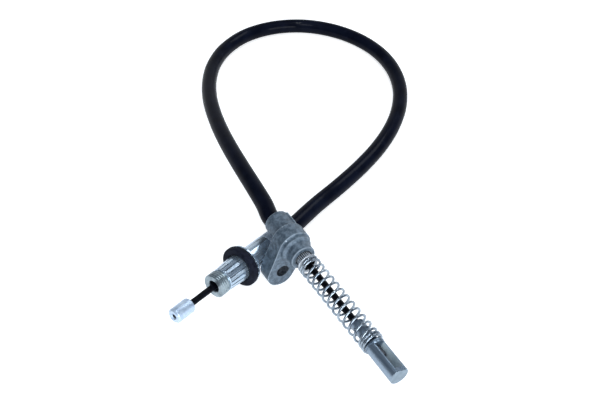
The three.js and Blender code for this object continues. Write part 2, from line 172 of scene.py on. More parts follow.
def surface(name, place, look):
    material, nodes, links, shader = newMaterial(name)
    vector = localCoordinates(nodes, links, place)
    along = stretched(nodes, links, vector, look.get("patchStretch", (1, 1, 1)))
    patches = noise(nodes, links, along, look["patchScale"])
    colour = ramp(nodes, links, patches, *mixing["patchRamp"], look["dark"], look["light"])
    if "edge" in look:
        # raised edges get a painted highlight, lighter along the rims
        bend = nodes.new("ShaderNodeNewGeometry").outputs["Pointiness"]
        rimHighlight = ramp(nodes, links, bend, look["edgeFrom"], look["edgeTo"], (0, 0, 0), (1, 1, 1))
        mixed = nodes.new("ShaderNodeMix")
        mixed.data_type = "RGBA"
        links.new(rimHighlight, mixed.inputs["Factor"])
        links.new(colour, mixed.inputs["A"])
        mixed.inputs["B"].default_value = (*look["edge"], 1)
        colour = mixed.outputs["Result"]
    links.new(colour, shader.inputs["Base Color"])
    shader.inputs["Metallic"].default_value = look["metallic"]
    rough = mapped(nodes, links, patches, mixing["patchSpan"], look["roughness"])
    links.new(rough, shader.inputs["Roughness"])
    fine = noise(nodes, links, vector, look["grainScale"], *mixing["grainNoise"])
    normal = bump(nodes, links, fine, look["grain"], mixing["grainDepth"])
    if "lines" in look:
        drawn = stretched(nodes, links, vector, look["lineScale"])
        lines = noise(nodes, links, drawn, 1.0, *mixing["lineNoise"])
        normal = bump(nodes, links, lines, look["lines"], mixing["lineDepth"], normal)
    links.new(normal, shader.inputs["Normal"])
    if "coat" in look:
        shader.inputs["Coat Weight"].default_value = look["coat"]
        shader.inputs["Coat Roughness"].default_value = look["coatRoughness"]
    if "specular" in look:
        shader.inputs["Specular IOR Level"].default_value = look["specular"]
    return material


# Noise stretched along a fitting, for drawn or turned steel
drawnLines = (60, 5000, 5000)
drawnPatches = (0.1, 1.6, 1.6)

castLook = {
    "dark": (0.05, 0.078, 0.108), "light": (0.17, 0.226, 0.288), "patchScale": 520, "metallic": 0.4,
    "roughness": (0.42, 0.58), "grainScale": 3200, "grain": 0.5,
    # the edge colour is a painted highlight along raised rims
    "edge": (0.42, 0.5, 0.58), "edgeFrom": 0.51, "edgeTo": 0.575,
}
# painted shade for the wall of the bolt hole
holeShadeLook = {
    "dark": (0.03, 0.04, 0.05), "light": (0.2, 0.23, 0.27), "patchScale": 500, "metallic": 0.3,
    "roughness": (0.5, 0.65), "grainScale": 3000, "grain": 0.4,
}
plateLook = {
    "dark": (0.36, 0.46, 0.56), "light": (0.56, 0.67, 0.79), "patchScale": 260, "metallic": 0.85,
    "roughness": (0.18, 0.3), "grainScale": 2600, "grain": 0.015, "lines": 0.04, "lineScale": drawnLines,
    "patchStretch": drawnPatches,
}
# painted shade for the floors of the ferrule's grooves
grooveShadeLook = {
    "dark": (0.03, 0.045, 0.07), "light": (0.09, 0.12, 0.16), "patchScale": 300, "metallic": 0.5,
    "roughness": (0.35, 0.5), "grainScale": 2600, "grain": 0.1,
}
mouthLook = {
    "dark": (0.19, 0.24, 0.27), "light": (0.34, 0.41, 0.45), "patchScale": 260, "metallic": 0.7,
    "roughness": (0.24, 0.36), "grainScale": 2600, "grain": 0.04,
}
sleeveLook = {
    "dark": (0.42, 0.47, 0.53), "light": (0.72, 0.77, 0.82), "patchScale": 300, "metallic": 0.4,
    "roughness": (0.24, 0.34), "grainScale": 2600, "grain": 0.1,
}
crimpLook = {
    "dark": (0.34, 0.43, 0.54), "light": (0.5, 0.6, 0.72), "patchScale": 300, "metallic": 0.25,
    "roughness": (0.32, 0.45), "grainScale": 2600, "grain": 0.08, "lines": 0.15, "lineScale": drawnLines,
    "patchStretch": drawnPatches,
}
rodLook = {
    "dark": (0.1, 0.14, 0.19), "light": (0.26, 0.33, 0.41), "patchScale": 180, "metallic": 0.8,
    "roughness": (0.25, 0.38), "grainScale": 2200, "grain": 0.1, "lines": 0.15, "lineScale": drawnLines,
    "patchStretch": drawnPatches,
}
rodEndLook = {
    "dark": (0.16, 0.21, 0.26), "light": (0.24, 0.31, 0.37), "patchScale": 400, "metallic": 0.25,
    "roughness": (0.42, 0.55), "grainScale": 2600, "grain": 0.3,
}
# painted light for the pocket's left-facing wall, which lies in the pocket's shade
pocketLightLook = {
    "dark": (0.34, 0.43, 0.48), "light": (0.5, 0.6, 0.66), "patchScale": 300, "metallic": 0.1,
    "roughness": (0.4, 0.5), "grainScale": 2600, "grain": 0.2,
}
nippleLook = {
    "dark": (0.42, 0.53, 0.69), "light": (0.6, 0.72, 0.86), "patchScale": 330, "metallic": 0.6,
    "roughness": (0.34, 0.46), "grainScale": 2400, "grain": 0.25,
}
springLook = {
    "dark": (0.16, 0.2, 0.25), "light": (0.4, 0.46, 0.52), "patchScale": 240, "metallic": 0.9,
    "roughness": (0.18, 0.26), "grainScale": 3000, "grain": 0.08,
}
# dark steel for the armour and the wire stop, and painted shade in the bracket's bore and the sleeve's mouth
# and knurl grooves
darkSteelAndShadeLook = {
    "dark": (0.02, 0.024, 0.03), "light": (0.09, 0.1, 0.12), "patchScale": 600, "metallic": 0.7,
    "roughness": (0.35, 0.55), "grainScale": 2600, "grain": 0.4,
}
wireLook = {
    "dark": (0.0015, 0.0015, 0.003), "light": (0.004, 0.005, 0.009), "patchScale": 500, "metallic": 0.0,
    "roughness": (0.3, 0.42), "grainScale": 1800, "grain": 0.12, "specular": 0.05,
}
rubberLook = {
    "dark": (0.005, 0.006, 0.012), "light": (0.014, 0.017, 0.03), "patchScale": 380, "metallic": 0.0,
    "roughness": (0.5, 0.66), "grainScale": 2600, "grain": 0.35, "specular": 0.06,
}
jacketLook = {
    "dark": (0.002, 0.003, 0.008), "light": (0.005, 0.007, 0.016), "patchScale": 120, "metallic": 0.0,
    "roughness": (0.3, 0.4), "grainScale": 900, "grain": 0.06, "specular": 0.02,
    "coat": 0.05, "coatRoughness": 0.05,
}

linerLook = {
    "dark": (0.7, 0.69, 0.64), "light": (0.85, 0.84, 0.8), "patchScale": 200, "metallic": 0.0,
    "roughness": (0.35, 0.5), "grainScale": 900, "grain": 0.1,
}

upright = Matrix.Identity(4)
castMaterial = surface("cast_metal", leverFrame, castLook)
holeShadeMaterial = surface("cast_hole_shade", leverFrame, holeShadeLook)
endMaterial = surface("rod_end_steel", leverFrame, rodEndLook)
pocketLightMaterial = surface("rod_pocket_light", leverFrame, pocketLightLook)
plateMaterial = surface("plated_steel", pullFrame, plateLook)
grooveShadeMaterial = surface("ferrule_groove_shade", pullFrame, grooveShadeLook)
mouthMaterial = surface("ferrule_mouth_steel", pullFrame, mouthLook)
sleeveMaterial = surface("sleeve_steel", leverFrame, sleeveLook)
crimpMaterial = surface("crimp_steel", pullFrame, crimpLook)
rodMaterial = surface("rod_steel", leverFrame, rodLook)
nippleMaterial = surface("nipple_steel", pullFrame, nippleLook)
springMaterial = surface("spring_steel", leverFrame, springLook)
darkSteelAndShadeMaterial = surface("dark_steel", leverFrame, darkSteelAndShadeLook)
wireMaterial = surface("wire_coat", upright, wireLook)
rubberMaterial = surface("black_rubber", pullFrame, rubberLook)
jacketMaterial = surface("black_jacket", upright, jacketLook)
linerMaterial = surface("pale_liner", upright, linerLook)
print("materials made")


# Mesh helpers, in millimetres along a fitting's axis
mergeWithin = 1e-4


def spun(profile, steps=96):
    # a profile of (along, radius) points, turned round X
    shape = bmesh.new()
    verts = [shape.verts.new((x, 0, r)) for x, r in profile]
    edges = [shape.edges.new(pair) for pair in zip(verts, verts[1:])]
    bmesh.ops.spin(
        shape, geom=verts + edges, axis=(1, 0, 0), cent=(0, 0, 0),
        angle=2 * math.pi, steps=steps, use_merge=True,
    )
    bmesh.ops.remove_doubles(shape, verts=shape.verts, dist=mergeWithin)
    bmesh.ops.recalc_face_normals(shape, faces=shape.faces)
    return shape


def bar(start, end, radius, steps):
    return spun([(start, 0), (start, radius), (end, radius), (end, 0)], steps)


def drawnOut(outline, start, length):
    # an outline of (side, up) points, drawn out along X
    shape = bmesh.new()
    verts = [shape.verts.new((start, side, up)) for side, up in outline]
    face = shape.faces.new(verts)
    made = bmesh.ops.extrude_face_region(shape, geom=[face])
    far = [g for g in made["geom"] if isinstance(g, bmesh.types.BMVert)]
    bmesh.ops.translate(shape, verts=far, vec=(length, 0, 0))
    bmesh.ops.recalc_face_normals(shape, faces=shape.faces)
    return shape


def asObject(shape, name):
    mesh = bpy.data.meshes.new(name)
    shape.to_mesh(mesh)
    shape.free()
    item = bpy.data.objects.new(name, mesh)
    bpy.context.scene.collection.objects.link(item)
    return item


def finishedMesh(item):
    # what the modifiers, or a curve's thickness, make of it
    graph = bpy.context.evaluated_depsgraph_get()
    return bpy.data.meshes.new_from_object(item.evaluated_get(graph))


def bake(item):
    mesh = finishedMesh(item)
    item.modifiers.clear()
    item.data = mesh


def cut(item, tool, operation="DIFFERENCE"):
    modifier = item.modifiers.new("cut", "BOOLEAN")
    modifier.object = tool
    modifier.operation = operation
    modifier.solver = "EXACT"
    bake(item)
    bpy.data.objects.remove(tool)


def roundEdges(item, width, segments, angle):
    modifier = item.modifiers.new("round", "BEVEL")
    modifier.width = width
    modifier.segments = segments
    modifier.limit_method = "ANGLE"
    modifier.angle_limit = math.radians(angle)
    bake(item)


def place(item, where, body, slotName, material, nodes=(), sharp=30, others=()):
    # others pairs a material with the test that picks its faces, by their middle and normal in millimetres
    faces = item.data.polygons
    picked = [[face.index for face in faces if test(face.center, face.normal)] for _, test in others]
    item.data.transform(where @ Matrix.Scale(mm, 4))
    item.data.shade_smooth()
    item.data.set_sharp_from_angle(angle=math.radians(sharp))
    item.data.materials.clear()
    item.data.materials.append(material)
    for face in item.data.polygons:
        face.material_index = 0
    for slot, ((other, _), indices) in enumerate(zip(others, picked), 1):
        item.data.materials.append(other)
        for index in indices:
            item.data.polygons[index].material_index = slot
    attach(item, body)
    if nodes:
        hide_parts(*nodes)


def arc(cx, cy, radius, start, end, steps=6):
    points = []
    for i in range(steps + 1):
        angle = math.radians(start + (end - start) * i / steps)
        points.append((cx + radius * math.cos(angle), cy + radius * math.sin(angle)))
    return points


# Sizes in millimetres, places along a fitting's axis
conduit = {"radius": 4.25, "wall": 0.65, "roundness": 7}
bracket = {
    "neckEndAt": -26.6, "socketDepth": 8, "neckEndRadius": 6.0, "neckRootRadius": 6.2, "neckShift": 1.1,
    "neckFlare": ((-2.4, 0), (-0.8, 0.4), (1, 1.2)), "plateBackAt": -15.1, "plateFrontAt": -7.7,
    "plateRadius": 8.2, "bossRadius": 7.3, "bossFrontAt": -5.2, "bossFillet": 0.8, "bossChamfer": 0.6,
    "collarRadius": 6.0, "edge": 0.3, "boreRadius": 4.05, "boreDepth": 9.3, "wireWay": 2.0, "earAngle": 62,
    "earReach": 15.6, "earRadius": 6.8, "earBossRadius": 5.2, "earBossLength": 1.2, "boltReach": 13.8,
    "boltRadius": 3.2, "boltSides": 48, "padWidth": 4.2, "padLength": 7, "padReach": 6.6, "padTurn": 25,
    "padPastNeckEnd": 1.4, "overlap": 1, "voxel": 0.26, "smoothing": 1, "softness": 0.5,
}
ferrule = {
    "mouthLength": 4.6, "mouthRadius": 5.7, "mouthLip": 0.5, "ridges": 4, "ridgeDepth": 0.4,
    "ridgeFoot": (1.0, 0.85), "ridgeTop": (0.6, 0.35), "grooveLength": 0.9, "grooveRadius": 4.9,
    "barrelRadius": 5.5, "barrelTaper": 0.45, "barrelRings": 24, "edge": 0.2, "splines": 18,
    "splineSteps": 16, "splineEndsBefore": 0.3, "frontRise": 0.3, "ribHeight": 0.6, "ribShare": 0.78,
    "ribSoft": 0.07, "grooveSpan": (0.02, 0.97), "grooveFloor": 0.15, "flangeFrontAt": -20.2,
    "flangeThickness": 1.2, "flangeRadius": 9.1, "flangeEdge": 0.3, "rearRadius": 5.9, "rearEdge": 0.25,
    "rearFlare": ((-1.0, 0), (-0.4, 0.3), (0, 0.9)), "endAt": -36.1, "boreRadius": 2.8,
    "boreLeadIn": (0.4, 0.3), "conduitStopAt": -30.1, "socketRadius": 4.55,
}
seatGap = 0.3


# The conduit's route, in millimetres before the frame's shift
def onFitting(place, x):
    return (place @ Vector((x * mm, 0, 0)) - frameShift) / mm


loopPoints = [
    (-16.9, -20.2, 20.5), (-21.9, -8.6, 20.1), (-29.3, 8.7, 18.7), (-36.4, 26.5, 16.7),
    (-42.7, 44.6, 14.3), (-47.9, 63.0, 11.8), (-51.7, 81.7, 9.3), (-53.3, 100.8, 7.1),
    (-51.9, 120.0, 5.4), (-45.9, 138.2, 4.4), (-34.0, 153.3, 4.25), (-17.1, 162.3, 4.25),
    (1.9, 164.3, 4.25), (20.4, 159.2, 4.25), (36.4, 148.5, 4.25), (48.6, 133.6, 4.25),
    (56.0, 115.9, 4.25), (58.6, 96.8, 4.25), (56.7, 77.7, 4.25), (51.1, 59.2, 4.25),
    (42.7, 41.9, 4.25), (32.1, 25.7, 4.25), (20.2, 10.5, 4.25), (7.7, -4.2, 4.25),
]
crimp = {
    "frontAt": -36.4, "length": 14, "radius": 5.65, "inner": 4.55, "ribs": 20, "ribSteps": 12,
    "ribHeight": 0.22, "rings": 10, "edge": (0.3, 0.25), "plainEnd": 0.2,
}
straight = {"inNeck": 2, "pastNeck": 4, "pastCrimp": 4, "inCrimp": 6, "inFerrule": 6}
crimpBackAt = crimp["frontAt"] - crimp["length"]
neckEndAt = bracket["neckEndAt"]
routePoints = [
    onFitting(leverFrame, neckEndAt + bracket["socketDepth"] - seatGap),
    onFitting(leverFrame, neckEndAt + straight["inNeck"]),
    onFitting(leverFrame, neckEndAt - straight["pastNeck"]),
    *[Vector(p) for p in loopPoints],
    onFitting(pullFrame, crimpBackAt - straight["pastCrimp"]),
    onFitting(pullFrame, crimpBackAt + straight["inCrimp"]),
    onFitting(pullFrame, ferrule["conduitStopAt"] - straight["inFerrule"]),
    onFitting(pullFrame, ferrule["conduitStopAt"] - seatGap),
]


def smoothRoute(points, perSpan=10):
    # a centripetal curve through every point
    ends = [2 * points[0] - points[1], *points, 2 * points[-1] - points[-2]]
    line = []
    for a, b, c, d in zip(ends, ends[1:], ends[2:], ends[3:]):
        tb = (b - a).length ** 0.5
        tc = tb + (c - b).length ** 0.5
        td = tc + (d - c).length ** 0.5
        for i in range(perSpan):
            t = tb + (tc - tb) * i / perSpan
            ab = a + (b - a) * (t / tb)
            bc = b + (c - b) * ((t - tb) / (tc - tb))
            cd = c + (d - c) * ((t - tc) / (td - tc))
            abc = ab + (bc - ab) * (t / tc)
            bcd = bc + (cd - bc) * ((t - tb) / (td - tb))
            line.append(abc + (bcd - abc) * ((t - tb) / (tc - tb)))
    line.append(points[-1])
    return line


def tubeCurve(name, line, radius, roundness, capped=True):
    data = bpy.data.curves.new(name, "CURVE")
    data.dimensions = "3D"
    data.bevel_depth = radius
    data.bevel_resolution = roundness
    data.use_fill_caps = capped
    data.twist_mode = "MINIMUM"
    spline = data.splines.new("POLY")
    spline.points.add(len(line) - 1)
    for point, at in zip(spline.points, line):
        point.co = (*at, 1)
    spline.use_smooth = True
    item = bpy.data.objects.new(name, data)
    bpy.context.scene.collection.objects.link(item)
    return item


conduitLine = [p * mm + frameShift for p in smoothRoute(routePoints)]
jacketRadius = conduit["radius"] * mm
jacket = tubeCurve("jacket", conduitLine, jacketRadius, conduit["roundness"], capped=False)
wall = jacket.modifiers.new("wall", "SOLIDIFY")
wall.thickness = conduit["wall"] * mm
wall.offset = -1
jacket.data.materials.append(jacketMaterial)
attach(jacket, "outer")
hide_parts("conduit_jacket")


# Bracket: cast in one, its forms joined, then softened as a casting is
def downEar(reach):
    angle = math.radians(bracket["earAngle"])
    return (-reach * math.cos(angle), -reach * math.sin(angle))


def linkOutline(radiusA, centreB, radiusB, steps=28):
    distance = math.hypot(*centreB)
    heading = math.degrees(math.atan2(centreB[1], centreB[0]))
    side = math.degrees(math.acos((radiusA - radiusB) / distance))
    first = arc(0, 0, radiusA, heading + side, heading + 360 - side, steps * 2)
    return first + arc(*centreB, radiusB, heading - side, heading + side, steps)


# How near a bore's wall a face lies, and how far it may lean, to count as part of the wall
boreTest = {"beyond": 0.05, "lean": 0.5}


def inBore(middle, radius):
    def test(centre, normal):
        away = math.hypot(centre.y - middle[0], centre.z - middle[1])
        return away < radius + boreTest["beyond"] and abs(normal.x) < boreTest["lean"]
    return test


def makeBracket():
    b = bracket
    back, front, bossFront = b["plateBackAt"], b["plateFrontAt"], b["bossFrontAt"]
    edge, chamfer, fillet, overlap = b["edge"], b["bossChamfer"], b["bossFillet"], b["overlap"]
    plate = linkOutline(b["plateRadius"], downEar(b["earReach"]), b["earRadius"])
    body = asObject(drawnOut(plate, back, front - back), "bracket_casting")
    boss = [
        (front - overlap, 0), (front - overlap, b["bossRadius"] + fillet),
        *arc(front + fillet, b["bossRadius"] + fillet, fillet, 180, 270),
        (bossFront - chamfer, b["bossRadius"]), (bossFront, b["bossRadius"] - chamfer),
        (bossFront + edge, b["collarRadius"]), (-edge, b["collarRadius"]),
        (0, b["collarRadius"] - edge), (0, 0),
    ]
    neck = [
        (neckEndAt, 0), (neckEndAt, b["neckEndRadius"] - edge), (neckEndAt + edge, b["neckEndRadius"]),
        *[(back + along, b["neckRootRadius"] + rise) for along, rise in b["neckFlare"]],
        (back + overlap, 0),
    ]
    half = b["padWidth"] / 2
    padOutline = [(0, -half), (b["padReach"], -half), (b["padReach"], half), (0, half)]
    pad = drawnOut(padOutline, neckEndAt + b["padPastNeckEnd"], b["padLength"])
    bmesh.ops.rotate(pad, verts=pad.verts, matrix=Matrix.Rotation(math.radians(b["padTurn"]), 3, "X"))
    bolt = downEar(b["boltReach"])
    earBoss = bar(back - b["earBossLength"], back + overlap, b["earBossRadius"], b["boltSides"])
    bmesh.ops.translate(earBoss, verts=earBoss.verts, vec=(0, *bolt))
    neckShape = spun(neck)
    for shape in (neckShape, pad):
        bmesh.ops.translate(shape, verts=shape.verts, vec=(0, b["neckShift"], 0))
    added = ((spun(boss), "boss"), (neckShape, "neck"), (pad, "pad"), (earBoss, "ear_boss"))
    for shape, name in added:
        cut(body, asObject(shape, name), "UNION")
    remesh = body.modifiers.new("remesh", "REMESH")
    remesh.mode = "VOXEL"
    remesh.voxel_size = b["voxel"]
    soften = body.modifiers.new("soften", "SMOOTH")
    soften.iterations = b["smoothing"]
    soften.factor = b["softness"]
    bake(body)
    hole = bar(back - 4 * overlap, front + 3 * overlap, b["boltRadius"], b["boltSides"])
    bmesh.ops.translate(hole, verts=hole.verts, vec=(0, *bolt))
    cut(body, asObject(hole, "bolt_hole"))
    outside, socketEnd = 2 * overlap, neckEndAt + b["socketDepth"]
    inside = spun([
        (neckEndAt - outside, 0), (neckEndAt - outside, ferrule["socketRadius"]),
        (socketEnd, ferrule["socketRadius"]), (socketEnd, b["wireWay"]), (-b["boreDepth"], b["wireWay"]),
        (-b["boreDepth"], b["boreRadius"]), (outside, b["boreRadius"]), (outside, 0),
    ])
    cut(body, asObject(inside, "bores"))
    # painted shade: the bolt hole's wall and the rod's bore are given darker materials
    others = (
        (holeShadeMaterial, inBore(bolt, b["boltRadius"])),
        (darkSteelAndShadeMaterial, inBore((0, 0), b["boreRadius"])),
    )
    place(body, leverFrame, "outer", "cast_metal", castMaterial, ["bracket"], sharp=40, others=others)


makeBracket()
print("bracket cast")


# Guide sleeve, with straight knurls round it and a rim under the spring
sleeve = {
    "radius": 3.55, "knurls": 24, "knurlSteps": 8, "depth": 0.3, "seat": 9, "leadIn": (0.3, 0.1),
    "standOut": 3.4, "rimRadius": 5.0, "rim": 0.8, "edge": 0.2, "step": 0.01, "bore": 2.0,
    "mouthRadius": 3.3, "mouthDepth": 2.5, "shadeDepth": 0.7,
}
ribTest = {"along": 1e-3, "across": 0.02}


def ribRadius(angle, count, height, width=0.5, soft=0.12):
    # how far a rib stands proud at this angle
    turn = (angle * count / (2 * math.pi)) % 1.0
    away = abs(turn - 0.5) * 2
    return height * min(1.0, max(0.0, (width + soft - away) / (2 * soft)))


def ribbed(shape, start, end, radius, count, height, width=0.5):
    for v in shape.verts:
        r = math.hypot(v.co.y, v.co.z)
        within = start - ribTest["along"] <= v.co.x <= end + ribTest["along"]
        if within and abs(r - radius) < ribTest["across"]:
            angle = math.atan2(v.co.z, v.co.y)
            grown = radius - height + ribRadius(angle, count, height, width)
            v.co.y *= grown / r
            v.co.z *= grown / r


def makeSleeve():
    s = sleeve
    seat, out, edge = -s["seat"], s["standOut"], s["edge"]
    face = out + s["rim"]
    mouthFloor = face - s["mouthDepth"]
    leadLength, leadRise = s["leadIn"]
    profile = [
        (seat, s["bore"]), (seat, s["radius"] - s["depth"] - leadRise), (seat + leadLength, s["radius"]),
        (out, s["radius"]), (out + s["step"], s["rimRadius"] - edge), (out + edge, s["rimRadius"]),
        (face - edge, s["rimRadius"]), (face, s["rimRadius"] - edge), (face, s["mouthRadius"]),
        (mouthFloor, s["mouthRadius"]), (mouthFloor, s["bore"]), (seat, s["bore"]),
    ]
    shape = spun(profile, s["knurls"] * s["knurlSteps"])
    ribbed(shape, seat + edge, out + s["step"] / 2, s["radius"], s["knurls"], s["depth"])

    def shadedInside(centre, normal):
        # painted shade in the mouth and on the floors of the knurl's grooves
        away = math.hypot(centre.y, centre.z)
        mouth = s["mouthRadius"] + s["step"]
        groove = centre.x < out and mouth < away < s["radius"] - s["depth"] * s["shadeDepth"]
        return away < mouth or groove

    knurled = asObject(shape, "knurled_sleeve")
    others = ((darkSteelAndShadeMaterial, shadedInside),)
    place(
        knurled, leverFrame, "outer", "plated_steel", sleeveMaterial, ["guide_sleeve"],
        sharp=24, others=others,
    )


makeSleeve()

# Return spring
spring = {
    "wire": 1.15, "radius": 5.2, "length": 50.6, "startAt": 4.5, "openPitch": 3.9, "closedPitch": 1.4,
    "startTurns": 1.25, "endTurns": 2.25, "stepsPerTurn": 40, "turnFrom": 0.85,
    "roundness": 3, "travel": 20.0,
}


def makeSpring():
    s = spring
    startRise = s["startTurns"] * s["closedPitch"]
    openRise = s["length"] - s["wire"] - startRise - s["endTurns"] * s["closedPitch"]
    openTurns = round(openRise / s["openPitch"])
    turns = openTurns + s["startTurns"] + s["endTurns"]
    line = []
    steps = round(turns * s["stepsPerTurn"])
    for i in range(steps + 1):
        turn = turns * i / steps
        if turn < s["startTurns"]:
            rise = turn * s["closedPitch"]
        elif turn < s["startTurns"] + openTurns:
            rise = startRise + (turn - s["startTurns"]) * openRise / openTurns
        else:
            rise = startRise + openRise + (turn - s["startTurns"] - openTurns) * s["closedPitch"]
        angle = turn * 2 * math.pi + s["turnFrom"]
        radius = s["radius"] - s["wire"] / 2
        along = s["startAt"] + s["wire"] / 2 + rise
        line.append((along, radius * math.cos(angle), radius * math.sin(angle)))
    wound = tubeCurve("wound_wire", line, s["wire"] / 2, s["roundness"])
    item = bpy.data.objects.new("coil_spring", finishedMesh(wound))
    bpy.context.scene.collection.objects.link(item)
    bpy.data.objects.remove(wound)
    place(item, leverFrame, "outer", "spring_steel", springMaterial, ["return_spring"], sharp=60)
    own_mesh(item)


makeSpring()
print("spring wound")

# Lever rod, its pocket, and the wire stop in it
rodSizes = {
    "radius": 4.2, "length": 17, "shankRadius": 3.0, "shankLength": 12.6, "flatHeight": 3.2, "lean": 19,
    "pocketWidth": 4.2, "pocketFloor": 2.1, "pocketStart": 1.6, "pocketCorner": 0.9, "endWall": 2.0,
    "rimRadius": 4.45, "rimLength": 0.7, "strandHole": 1.15, "holeSides": 32, "sides": 128, "overlap": 1,
}
rodEdges = {"width": 0.22, "segments": 3, "angle": 35}
rodTest = {"facing": 0.9, "nearEnd": 0.3, "nearWall": 0.25, "wallFacing": -0.7}
shoulderAt = spring["startAt"] + spring["length"] + seatGap


def makeRod():
    r = rodSizes
    shankEnd, end = shoulderAt - r["shankLength"], shoulderAt + r["length"]
    rimEnd, over = shoulderAt + r["rimLength"], r["overlap"]
    body = asObject(spun([
        (shankEnd, 0), (shankEnd, r["shankRadius"]), (shoulderAt, r["shankRadius"]),
        (shoulderAt, r["rimRadius"]), (rimEnd, r["rimRadius"]), (rimEnd, r["radius"]), (end, r["radius"]),
        (end, 0),
    ], r["sides"]), "milled_rod")
    pocketFrom, pocketTo = shoulderAt + r["pocketStart"], end - r["endWall"]
    wide, high = r["radius"] + over, r["flatHeight"]
    flatOutline = [(-wide, high), (wide, high), (wide, wide), (-wide, wide)]
    flat = drawnOut(flatOutline, pocketFrom, end + over - pocketFrom)
    half, corner = r["pocketWidth"] / 2, r["pocketCorner"]
    floor = -r["pocketFloor"] + corner
    outline = [
        (-half, wide), *arc(-half + corner, floor, corner, 180, 270),
        *arc(half - corner, floor, corner, 270, 360), (half, wide),
    ]
    pocket = drawnOut(outline, pocketFrom, pocketTo - pocketFrom)
    hole = bar(shankEnd - over, pocketFrom + over, r["strandHole"], r["holeSides"])
    lean = math.radians(r["lean"])
    turn = Matrix.Rotation(-lean, 3, "X")
    for shape, name in ((flat, "flat"), (pocket, "pocket"), (hole, "strand_hole")):
        bmesh.ops.rotate(shape, verts=shape.verts, matrix=turn)
        cut(body, asObject(shape, name))
    roundEdges(body, rodEdges["width"], rodEdges["segments"], rodEdges["angle"])

    def atEnd(centre, normal):
        return normal.x > rodTest["facing"] and centre.x > end - rodTest["nearEnd"]

    def onWall(centre, normal):
        # the pocket's wall that faces left, painted lighter: painted light where the pocket is in shade
        across = centre.y * math.cos(lean) - centre.z * math.sin(lean)
        facing = normal.y * math.cos(lean) - normal.z * math.sin(lean)
        near = pocketFrom < centre.x < pocketTo and abs(across - half) < rodTest["nearWall"]
        return near and facing < rodTest["wallFacing"]

    others = ((endMaterial, atEnd), (pocketLightMaterial, onWall))
    place(body, leverFrame, "lever_end", "rod_steel", rodMaterial, ["lever_rod"], others=others)


makeRod()

# The crimped stop, as its radius at each place from its inner end
wireStop = {
    "bore": 1.15, "length": 4.4, "sides": 48,
    "outline": (
        (0, 1.6), (0.25, 1.8), (1.4, 1.8), (1.6, 1.62), (2.6, 1.62), (2.8, 1.8), (4.0, 1.8), (4.4, 1.4),
    ),
}


def makeWireStop():
    start = shoulderAt + rodSizes["pocketStart"] + seatGap
    outline = [(start + along, radius) for along, radius in wireStop["outline"]]
    bore = wireStop["bore"]
    profile = [(start, bore), *outline, (start + wireStop["length"], bore), (start, bore)]
    stop = asObject(spun(profile, wireStop["sides"]), "crimped_stop")
    place(stop, leverFrame, "lever_end", "dark_steel", darkSteelAndShadeMaterial, ["wire_stop"])


makeWireStop()


# The sliding ends of the inner wire, with the strand's lay showing faintly through the coat
wire = {
    "coatRadius": 1.5, "strandRadius": 0.85, "strandEndRadius": 0.6, "edge": 0.15, "ringStep": 1.0,
    "sides": 48, "layHeight": 0.025, "layStrands": 6, "layPitch": 9, "insideNeck": 22, "pullFrom": -41.0,
}
nipple = {
    "at": 14.8, "length": 10, "radius": 3.5, "chamfer": 0.7, "cornerEnd": 0.1, "cornerSide": 0.12,
    "cornerDip": 0.08, "bore": 1.15, "leadIn": 1.8, "leadInDepth": 0.6, "backLead": (0.5, 0.45),
}


def makeWire(name, start, coatEnd, strandEnd, where, body, node):
    w = wire
    coat, strand, edge = w["coatRadius"], w["strandRadius"], w["edge"]
    spans = int((coatEnd - start) / w["ringStep"])
    rings = [(start + (coatEnd - start) * i / spans, coat) for i in range(1, spans)]
    profile = [
        (start, 0), (start, coat), *rings,
        (coatEnd - edge, coat), (coatEnd, coat - edge), (coatEnd, strand),
        (strandEnd - edge, strand), (strandEnd, w["strandEndRadius"]), (strandEnd, 0),
    ]
    shape = spun(profile, w["sides"])
    for v in shape.verts:
        r = math.hypot(v.co.y, v.co.z)
        if abs(r - coat) < ribTest["along"]:
            angle = w["layStrands"] * math.atan2(v.co.z, v.co.y) + v.co.x * 2 * math.pi / w["layPitch"]
            grown = r - w["layHeight"] + w["layHeight"] * math.cos(angle)
            v.co.y *= grown / r
            v.co.z *= grown / r
    place(asObject(shape, name), where, body, "coated_wire", wireMaterial, [node])


makeWire(
    "lever_strand", neckEndAt + wire["insideNeck"], shoulderAt - rodSizes["shankLength"] - seatGap,
    shoulderAt + rodSizes["pocketStart"] + seatGap + wireStop["length"],
    leverFrame, "lever_end", "lever_wire",
)
makeWire(
    "pull_strand", wire["pullFrom"], nipple["at"] - seatGap, nipple["at"] + nipple["length"] - seatGap,
    pullFrame, "pull_end", "pull_wire",
)
print("rod and wires made")


# Pull ferrule
def barrelRadius(share):
    return ferrule["barrelRadius"] + ferrule["barrelTaper"] * (1 - share)


